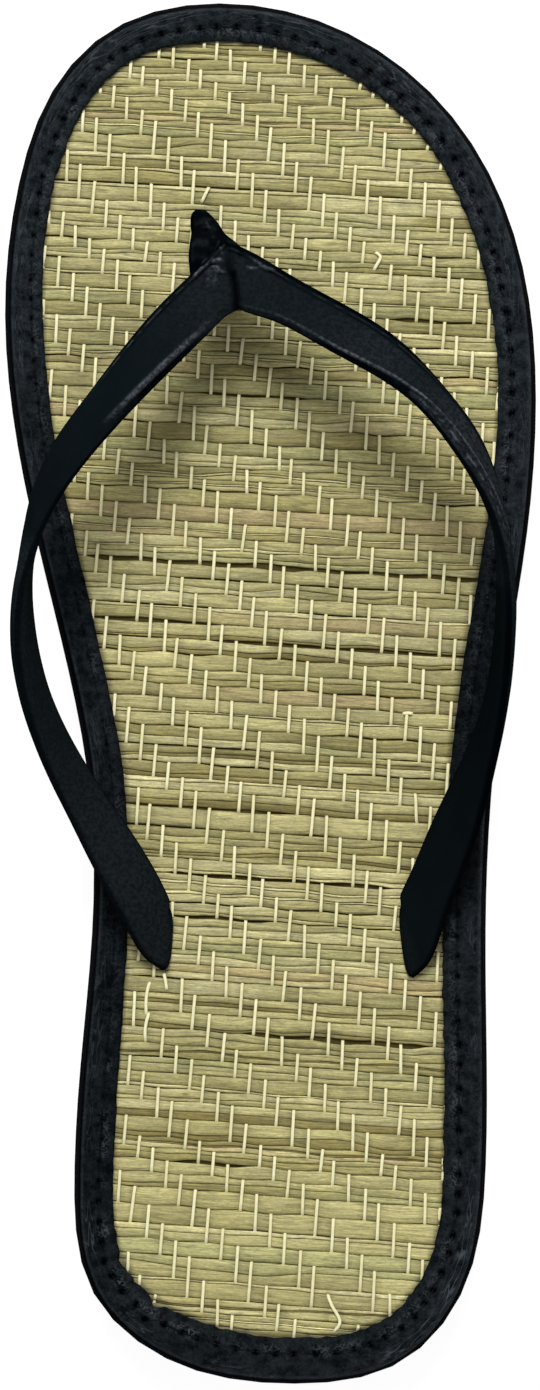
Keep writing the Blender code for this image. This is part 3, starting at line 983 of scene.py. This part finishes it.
def strip_row(pick, share, to_hole, bulge, ripple, edge):
    """A row of the strip, with stitch holes, gathers on the inside of them, and painted shade in the
    holes and along the stitch groove.
    """
    gather = GATHER[pick]
    inset = BINDING_OUTER[-1][0] + (edge - BINDING_OUTER[-1][0]) * share
    from_edge = edge - inset
    from_stitch = from_edge - STITCH_LINE[pick]
    size = HOLE_SIZE + HOLE_SPREAD * gather
    hole = bell(to_hole, 1.2 * size) * bell(from_stitch, size)
    hole = hole * (0.35 + 0.65 * smooth((gather - 0.35) / 0.35))
    # painted shade along the stitch groove between the holes
    pulled = 0.45 * bell(from_stitch, 0.25) * (0.6 + 0.4 * ripple)
    inside = smooth(1 - (from_stitch + 0.3) / 0.8) * smooth(from_edge / 0.5)
    height = STRIP_TOP - 0.23 * (1 - share) ** 2 - 0.5 * share**8
    height = height - 0.15 * bell(from_stitch, 0.5) - HOLE_DEPTH * hole
    height = height + (0.2 * ripple + 0.12 * bulge) * gather * inside
    height = height + 0.08 * lumps(np.column_stack([OUTLINE[pick], inset]), 2.6, 9)
    return inset, height, np.clip(1.7 * hole + pulled, 0, 1)


def binding_section(pick):
    """Insets, heights and painted shade in the stitch holes and groove, for each place and row."""
    shape = binding_edge(pick)
    ripple, edge = shape[2:]
    rows = [(inset, height, 0) for inset, height in BINDING_OUTER]
    rows += [strip_row(pick, share, *shape) for share in STRIP_SHARES]
    rows.append((edge - 0.12, LIP_TOP + 0.12 * GATHER[pick] * ripple, 0))
    rows.append((edge, LIP_EDGE, 0))
    rows.append((edge - 0.1, LIP_UNDER, 0))
    rows += [(inset, height, 0) for inset, height in BINDING_INNER]
    return np.array([[np.broadcast_to(value, pick.shape) for value in row] for row in rows]).T


def binding_looks(pick, rings, insets, heights, holes):
    """The values that the binding's material needs, its painted highlights and painted shade among
    them.
    """
    points = OUTLINE[pick]
    outer = smooth(0.5 + points[:, :1] / 50)  # 1 on the outer side of the foot
    gather = GATHER[pick, None]
    from_stitch = BAND[pick, None] - insets - STITCH_LINE[pick, None]
    # painted highlight along the outer roll, stronger on the outer side of the foot
    fold = (0.16 + 0.3 * outer) * bell(insets - 1.4 + 0.25 * outer, 0.25) * (heights > 2.5)
    # pale marks on the gathered strip inside the stitches: dust and painted sheen
    strip = bell(from_stitch + 0.6, 1.0) * (heights > 3.4) * 0.5 * np.clip(gather, 0, 0.75)
    # painted shade on the binding's outer side below the roll, less on the outer side of the foot
    below_rim = smooth((1.35 - insets) / 0.3) * (0.9 - 0.6 * outer) * (heights > 0.5)
    # painted highlight along the top of the outer roll
    rim = (0.14 + 0.3 * outer) * bell(insets - 1.5 + 0.3 * outer, 0.2) * (heights > 2.5)
    # painted highlights along the creases of the gathered strip
    creased = 0.5 * gather * bell(insets - 2.4, 1.2) * (heights > 3.0)
    along = np.broadcast_to(pick[:, None] * OUTLINE_LENGTH / FINE, insets.shape)
    return {
        "dust": np.clip((fold + strip) * (0.6 + lumps(rings, 3.0, 31)), 0, 1),
        # painted shade in the stitch holes and groove and below the roll
        "hole": np.clip(holes + below_rim, 0, 1),
        "tone": np.broadcast_to(TONE[pick, None], insets.shape),
        "fold": creased * smooth(0.5 + 0.8 * lumps(points, 9.0, 37))[:, None],
        "rim": rim * (0.75 + 0.35 * lumps(points, 2.0, 43))[:, None],
        "band": np.dstack([along, insets, heights]),
    }


def make_binding(material):
    """The bound edge: one closed C swept round the outline."""
    count = int(OUTLINE_LENGTH / BINDING_STEP)
    pick = (np.arange(count) * FINE / count).astype(int)
    # the third value is the painted shade of the stitch holes and groove
    insets, heights, holes = np.moveaxis(binding_section(pick), 1, 0)
    x, y = np.moveaxis(OUTLINE[pick, None] + INWARD[pick, None] * insets[..., None], -1, 0)
    rings = above_foam(x, y, heights)
    looks = binding_looks(pick, rings, insets, heights, holes)
    piece = tube_piece("bound_edge", "binding", material, rings, looped=True, **looks)
    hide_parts("edge_binding")


def make_stitches(material):
    """The binding's stitches, each from one hole to the next."""
    side, up = oval(6, STITCH_WIDTH, STITCH_WIDTH)
    shape = Joined()
    for start, end in zip(HOLES, np.append(HOLES[1:], HOLES[0] + OUTLINE_LENGTH)):
        at = np.interp(STITCH_SHARES, (0, 1), (start + 0.1, end - 0.1))
        index = np.round(at * FINE / OUTLINE_LENGTH).astype(int) % FINE
        flat = OUTLINE[index] + INWARD[index] * (BAND - STITCH_LINE)[index, None]
        path = np.column_stack([flat, STITCH_LEVEL - STITCH_DROPS])
        rings = rings_along(path, INWARD[index], side, up)
        zero = np.zeros(rings.shape[:2])
        tone = 0.8 * TONE[index][:, None] + zero
        shape.add(rings, dust=zero, hole=zero, tone=tone, fold=zero, rim=zero, band=rings)
    shape.piece("binding_stitches", "binding", material)


# ---- the strap ----

STRAP_THICKNESS = 3.0
STRAP_SQUARENESS = 2.8
STRAP_TOP_SIDES = 44
STRAP_UNDER_SIDES = 20
STRAP_STEP = 0.4
TAIL_DROPS = (1.5, 4.0, 7.5)  # how far the arms' last rings go down into their slots
SEAM = ((-6.1, 69.0), (-6.3, 72.7), (-6.7, 75.2), (-7.4, 76.9), (-7.6, 79.6), (-7.9, 81.8))
CREASES = (
    # depth, then x, y along its painted highlight: its painted shade is on the right of that
    (0.28, (-9.6, 82.4), (-9.8, 81.2), (-10.9, 79.8), (-12.9, 78.2)),
    (0.5, (-13.7, 75.9), (-12.7, 76.95), (-11.8, 77.7), (-11.0, 78.3), (-9.6, 78.6)),
    (0.3, (-11.3, 76.5), (-10.6, 76.3)),
    (0.3, (-9.5, 76.6), (-9.0, 76.5)),
    (0.2, (-10.6, 77.3), (-9.8, 77.1)),
    (0.12, (-11.6, 86.2), (-11.2, 85.3), (-10.4, 83.2)),
    (0.15, (-9.3, 81.2), (-8.9, 80.3)),
    (0.12, (-11.35, 75.9), (-11.35, 74.2)),
    (0.08, (-10.7, 75.4), (-10.7, 74.3)),
    (0.1, (-10.1, 75.4), (-10.1, 74.3)),
    (0.35, (-2.7, 77.05), (-4.0, 77.05)),
    (0.3, (-2.6, 78.4), (-1.9, 77.8), (-1.1, 77.2), (0.2, 76.8)),
)
# Dents near the apex, sunk a little and given painted shade.
DENTS = (
    # x, y, half width
    (-13.4, 78.2, 0.8), (-10.8, 80.9, 0.45), (-9.1, 82.0, 0.35),
    (-6.6, 76.2, 0.5), (-5.4, 79.9, 0.5),
)
# How an arm looks along it: where the ridge beside its heel side lies, and how much painted
# highlight the ridge, the outside and the lining get. Below 0 they get painted shade instead.
INNER_LOOK = (
    # y, ridge from heel side, its shine, outside, lining
    (-25, 1.5, 0, 0, 0.055), (-8, 1.5, 0, 0, 0.025),
    (8, 1.5, 0, 0, 0.035), (25, 1.5, 0, 0.06, 0.04), (36, 1.5, 0, -0.1, 0),
    (47, 1.5, 0, 0, 0), (50.5, 1.3, 0.4, 0, 0), (54, 1.25, 0.8, 0, 0),
    (60.5, 1.2, 0.85, 0.01, 0), (64.5, 1.1, 0.35, 0.03, 0), (68, 1.1, 0, 0.04, 0),
)
OUTER_LOOK = (
    (-52, 2.8, 0, 0, 0.02), (-42, 2.8, 0, 0, -0.05), (-15, 2.8, 0, 0, -0.35),
    (10, 2.8, 0, 0, -0.3), (20, 2.8, 0, 0.04, 0.04), (26, 2.8, 0.1, 0.07, 0.03),
    (35, 2.6, 0.6, 0.12, 0), (47, 2.2, 0.9, 0.12, 0), (54, 1.1, 0.9, 0.04, 0),
    (58, 0.9, 0.9, 0.07, 0), (61.5, 0.8, 0.9, 0.05, 0), (65, 0.8, 0.4, 0.03, 0),
    (69.6, 0.8, 0.1, 0.03, 0),
)
INNER_ARM = (
    # toe side's x, y and height, heel side's x, y and height
    (-8.6, 82.8, 13.4, -3.7, 70.5, 19.5), (-11.5, 79.5, 14.6, -6.6, 69.6, 20.0),
    (-16.9, 74.0, 17.5, -9.7, 67.1, 22.0), (-25.6, 64.1, 22.2, -18.9, 57.8, 27.8),
    (-33.6, 53.1, 25.6, -28.6, 47.7, 32.5), (-39.3, 44.6, 26.2, -35.4, 39.6, 33.9),
    (-43.1, 34.3, 24.8, -40.7, 31.6, 34.0), (-44.3, 24.6, 22.5, -44.1, 23.7, 32.4),
    (-43.7, 13.0, 19.0, -46.3, 12.0, 28.7), (-41.2, 1.5, 14.7, -45.2, -0.4, 23.4),
    (-36.2, -9.5, 10.7, -41.7, -12.1, 18.2), (-29.6, -19.8, 7.3, -36.6, -23.3, 13.0),
    (-23.3, -29.1, 4.4, -31.4, -33.9, 9.8), (-19.1, -37.0, 2.0, -25.8, -44.4, 5.6),
    (-18.9, -38.4, 1.4, -22.8, -49.0, 2.6), (-19.2, -39.4, 0.9, -19.9, -51.0, 0.9),
)
OUTER_ARM = (
    # toe side's x, y and height, heel side's x, y and height
    (-8.9, 83.0, 13.0, -7.7, 71.0, 18.8), (-4.6, 81.2, 14.2, -4.9, 69.6, 19.8),
    (3.5, 76.3, 17.5, 0.3, 67.9, 22.2), (14.6, 69.9, 22.0, 11.3, 61.9, 27.0),
    (24.0, 63.3, 25.0, 19.9, 57.1, 30.6), (31.5, 54.9, 25.8, 27.2, 51.6, 33.5),
    (37.5, 46.5, 25.2, 33.7, 43.6, 34.0), (41.2, 35.0, 22.9, 39.8, 33.7, 32.7),
    (42.3, 23.0, 19.7, 43.0, 22.2, 29.6), (41.6, 11.0, 16.1, 43.6, 9.6, 25.8),
    (39.4, -2.0, 12.1, 42.5, -3.8, 21.2), (34.3, -14.7, 8.2, 39.9, -17.6, 16.0),
    (29.8, -23.8, 5.4, 37.2, -27.7, 11.6), (26.6, -31.3, 3.3, 34.2, -35.9, 8.2),
    (24.4, -36.0, 1.9, 31.5, -43.6, 5.0), (24.2, -37.4, 1.4, 29.0, -49.8, 2.6),
    (24.8, -38.6, 0.9, 26.3, -52.4, 0.9),
)
POST = (
    # height, x, y, width, depth
    (-7.5, -13.0, 87.0, 3.6, 4.8),
    (0.0, -13.0, 87.0, 3.6, 4.8),
    (5.0, -11.9, 84.8, 5.4, 5.0),
    (9.0, -11.2, 82.4, 7.2, 5.2),
    (12.5, -9.8, 79.7, 10.4, 5.4),
    (15.6, -9.0, 75.8, 11.2, 5.2),
)


def round_section(top, under):
    """A superellipse's points, from -1 to 1 across and -1 to 1 through, top first."""

    def across(count):
        share = np.arange(count) / count
        return 0.5 * (1 - 2 * share) + 0.5 * np.cos(np.pi * share)

    u = np.concatenate([across(top), -across(under)])
    v = (1 - np.abs(u) ** STRAP_SQUARENESS) ** (1 / STRAP_SQUARENESS)
    v[top:] *= -1
    return u, v


def from_line(places, line):
    """How far places lie to the right of a curved line, and how far past its ends."""
    curve = cubic_through(line)(np.linspace(0, 1, 25))
    ahead = unit(np.gradient(curve, axis=0))
    gone = places[..., None, :2] - curve
    nearest = np.linalg.norm(gone, axis=-1).argmin(axis=-1)
    gone = np.take_along_axis(gone, nearest[..., None, None], axis=-2)[..., 0, :]
    ahead = ahead[nearest]
    right = gone[..., 0] * ahead[..., 1] - gone[..., 1] * ahead[..., 0]
    return right, np.abs((gone * ahead).sum(axis=-1))


def crease(places):
    """How the creases near the apex raise the strap, and where they get painted highlights and
    painted shade.
    """
    raised, scuffed, dark = 0, 0, 0
    for depth, *line in CREASES:
        right, past = from_line(places, line)
        strength = bell(past, 0.6) * smooth(0.55 + 0.7 * lumps(places, 0.8, 61))
        raised = raised + depth * strength * (bell(right, 0.35) - bell(right - 0.6, 0.3))
        scuffed = scuffed + 2.6 * depth * strength * bell(right, 0.25)
        dark = dark + 2.2 * depth * strength * bell(right - 0.6, 0.28)
    for x, y, half_width in DENTS:
        dent = bell(np.hypot(places[..., 0] - x, places[..., 1] - y), half_width)
        raised = raised - 0.25 * dent
        dark = dark + 0.8 * dent
    return raised, scuffed, dark


def arm_edges(rows):
    """The toe-side and heel-side edges of an arm, from the apex down into its slot."""
    rows = np.array(rows)
    for column in (2, 5):
        rows[:, column] += foam(rows[:, column - 1]) + MAT_LEVEL
    curve = cubic_through(rows)
    fine = curve(np.linspace(0, 1, 1001))
    middle = (fine[:, :3] + fine[:, 3:]) / 2
    count = int(lengths_along(middle)[-1] / STRAP_STEP) + 1
    edges = curve(even_shares(middle, count) / 1000)
    tail = np.repeat(edges[-1:], len(TAIL_DROPS), axis=0)
    tail[:, 2::3] -= np.reshape(TAIL_DROPS, (-1, 1))
    edges = np.vstack([edges, tail])
    return edges[:, :3], edges[:, 3:]


class Arm:
    """One arm of the strap: a padded band with a channel and a ridge.

    Its values have a row for each ring and a column for each point round the ring.
    """

    def __init__(self, rows, look, channel_at, ridge_width, outside):
        """outside is 1 or -1, whichever turns the normals to the strap's outside."""
        toe_side, heel_side = arm_edges(rows)
        across = (heel_side - toe_side) / 2
        half = np.linalg.norm(across, axis=1)[:, None]
        u, self.through = round_section(STRAP_TOP_SIDES, STRAP_UNDER_SIDES)
        centre = (toe_side + heel_side) / 2
        self.normal = unit(np.cross(np.gradient(centre, axis=0), across) * outside)
        self.place = centre[:, None] + across[:, None] * u[None, :, None]
        self.outside = outside
        self.ridge_width = ridge_width
        self.top = (self.through > 0).astype(float)
        self.from_toe_side = (1 + u) * half
        self.from_heel_side = (1 - u) * half
        self.from_channel = self.from_toe_side - channel_at
        places, *columns = np.array(look).T
        self.ridge_at, self.ridge_shine, outside_shine, lining_shine = (
            np.interp(heel_side[:, 1], places, column)[:, None] for column in columns
        )
        outside_shine = outside_shine * smooth(self.from_channel / 0.8)
        self.face_shine = np.where(self.top, outside_shine, lining_shine)
        self.below = self.ridge_at - self.from_heel_side
        self.broken = smooth((0.5 + 0.5 * lumps(self.place, 1.4, 59) - 0.35) / 0.3)
        self.near_apex = 0.1 + 0.9 * smooth((heel_side[:, 1:2] - 50) / 8)
        self.channel = bell(self.from_channel, 0.22) * self.top * (0.35 + 0.65 * self.broken)
        self.ridge = bell(self.from_heel_side - self.ridge_at, ridge_width) * self.top
        self.wall = smooth(1.2 - self.from_heel_side / self.ridge_at) * self.top
        self.open_wall = smooth((self.ridge_at - 0.8) / 0.9) * (ridge_width < 0.3)
        self.flecks = 0.5 + 0.5 * lumps(self.place, 0.9, 67)
        self.right, self.past = from_line(self.place, SEAM)
        self.raised, self.scuffed, self.creased = crease(self.place)

    def rings(self):
        """The arm's points. It is lowered past the seam, where the other arm covers it."""
        thick = self.through * STRAP_THICKNESS / 2
        thick = thick - 0.22 * self.channel + 0.12 * self.ridge - 0.3 * self.wall
        thick = thick + 0.08 * lumps(self.place, 6.0, 41) * np.abs(self.through)
        thick = thick - 0.5 * bell(self.right, 0.8) * bell(self.past, 1.0) * self.top
        thick = thick + self.raised * self.top
        rings = self.place + self.normal[:, None] * thick[..., None]
        rings[..., 2] -= 2.4 * smooth(self.right * self.outside / 1.6) * (np.abs(self.right) < 4)
        return rings

    def worn(self):
        """How much painted highlight it has: on and below the ridge, beside the channel and on the
        faces.
        """
        along = 0.5 + 0.5 * lumps(self.place, 2.2, 57)
        fibres = np.stack([self.from_heel_side / 0.3, self.place[..., 1] / 4], axis=-1)
        ridge = self.ridge * (0.4 + 0.5 * along + 0.15 * lumps(fibres, 1.0, 71))
        speckled = self.wall * smooth((self.flecks - 0.65) / 0.3)
        second = 0.8 * bell(self.below - 0.6 * self.ridge_at, 0.2) * self.open_wall
        second = second * smooth((self.flecks - 0.3) / 0.4)
        beside_channel = bell(self.from_channel + 0.5, 0.16) * self.broken * self.near_apex
        worn = self.ridge_shine * (ridge + 0.25 * speckled + second)
        worn = worn + (0.27 + 0.13 * self.outside) * beside_channel + self.scuffed
        return np.clip(worn * self.top + self.face_shine, 0, 1)

    def dark(self):
        """How much painted shade it has: in the channel, creases and seam, on the rims and below the
        ridge.
        """
        from_edge = np.minimum(self.from_toe_side, self.from_heel_side)
        from_rim = np.where(self.top, self.from_channel + 1.1, from_edge - 0.3)
        # painted shade on the rounded rims
        rims = smooth(1 - from_rim / 0.6) * np.where(self.top, 0.6 + 0.4 * self.broken, 0.7)
        shaded = smooth((self.below - 1.1 * self.ridge_width) / 0.25)
        shaded = shaded * (1 - self.open_wall * (0.5 + 0.5 * self.flecks))
        low = smooth((SEAM[-1][1] - self.place[..., 1]) / 7)
        # painted shade along the seam between the arms
        seam = (0.35 + 0.65 * low) * bell(self.right, 0.6 + 0.25 * low) * bell(self.past, 1.0)
        dark = 0.8 * self.channel * self.near_apex + self.creased + rims
        dark = dark - np.clip(self.face_shine, None, 0)
        dark = dark + np.clip(1.3 * self.ridge_shine, 0, 1) * shaded * self.top
        return np.clip(dark + seam * self.top, 0, 1)

    def piece(self, name, material):
        values = {"worn": self.worn(), "dark": self.dark()}
        return tube_piece(name, "strap", material, self.rings(), **values)


def make_post(material):
    """The toe post, flattened and widening up to the arms, with patchy painted shade all over,
    deepest on its sides and in its creases, and painted highlights along its creases.
    """
    u, v = round_section(STRAP_TOP_SIDES, STRAP_UNDER_SIDES)
    height, x, y, width, depth = cubic_through(POST)(np.linspace(0, 1, 60)).T[..., None]
    level = foam(y) + MAT_LEVEL + height
    rings = np.stack(np.broadcast_arrays(x + u * width / 2, y + v * depth / 2, level), axis=-1)
    raised, scuffed, creased = crease(rings)
    rings[..., 1] += raised * (v > 0)
    mottled = smooth(0.3 + 0.9 * lumps(rings, 1.5, 73))
    rims = smooth(1 - (1 - np.abs(u)) * width / 2 / 0.7)
    # painted shade: patchy over the whole post, deeper on its sides and in the creases
    dark = np.clip(0.75 - 0.5 * mottled + creased + rims, 0, 1)
    worn = np.clip((scuffed + 0.05 * mottled) * (v > 0), 0, 1)
    tube_piece("toe_post", "strap", material, rings, worn=worn, dark=dark)


def make_strap():
    """The arms and the toe post, which together stand for the CAD strap."""
    material = strap_material()
    inner = Arm(INNER_ARM, INNER_LOOK, channel_at=1.65, ridge_width=0.4, outside=1)
    inner = inner.piece("strap_inner", material)
    outer = Arm(OUTER_ARM, OUTER_LOOK, channel_at=2.1, ridge_width=0.17, outside=-1)
    outer.piece("strap_outer", material)
    make_post(material)
    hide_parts("strap")


def finish_sole():
    """The CAD sole stays, with a foam finish."""
    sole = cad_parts["sole"]
    sole.data.materials.clear()
    sole.data.materials.append(foam_material())


# ---- the studio ----

FLOOR_REACH = 4.0  # metres


def add_camera():
    """The camera, straight above the shoe."""
    camera = bpy.data.cameras.new("camera")
    camera.sensor_width = SENSOR
    camera.lens = SENSOR * VIEW_DISTANCE / VIEW_LENGTH
    camera.clip_end = 10
    stand = add_object("camera", camera)
    stand.location = (CAMERA_X * MM, CAMERA_Y * MM, CAMERA_HEIGHT * MM)
    bpy.context.scene.camera = stand


def add_light(name, place, size, watts):
    """A soft square light that faces the middle of the shoe, with its place in metres."""
    light = bpy.data.lights.new(name, "AREA")
    light.shape = "SQUARE"
    light.size = size
    light.energy = watts
    stand = add_object(name, light)
    stand.location = place
    stand.rotation_euler = (-stand.location).to_track_quat("-Z", "Y").to_euler()


def add_floor():
    """A floor that glows a little less than white."""
    mesh = bpy.data.meshes.new("floor")
    turns = (-1, -1), (1, -1), (1, 1), (-1, 1)
    corners = [(x * FLOOR_REACH, y * FLOOR_REACH, 0) for x, y in turns]
    mesh.from_pydata(corners, [], [(0, 1, 2, 3)])
    paint = Paint("floor", 0.9, 0.0)
    paint.colour((0.2, 0.2, 0.2, 1))
    paint.put(paint.shader.inputs["Emission Color"], (1, 1, 1, 1))
    paint.put(paint.shader.inputs["Emission Strength"], 0.92)
    mesh.materials.append(paint.material)
    add_object("floor", mesh)


def add_studio():
    """White surroundings, two lights, the floor and the camera."""
    world = bpy.data.worlds.new("studio")
    world.use_nodes = True
    sky = world.node_tree.nodes["Background"]
    sky.inputs["Color"].default_value = (1, 1, 1, 1)
    sky.inputs["Strength"].default_value = 0.26
    bpy.context.scene.world = world
    add_light("key", (-0.07, 0.85, 1.2), size=0.55, watts=19.5)
    add_light("fill", (0.1, -1.0, 0.9), size=0.8, watts=3.0)
    bpy.context.scene.view_settings.view_transform = "Standard"
    add_floor()
    add_camera()


add_studio()
edges = make_mat()
make_threads(edges)
make_backing()
black = binding_material()
make_binding(black)
make_stitches(black)
make_strap()
finish_sole()
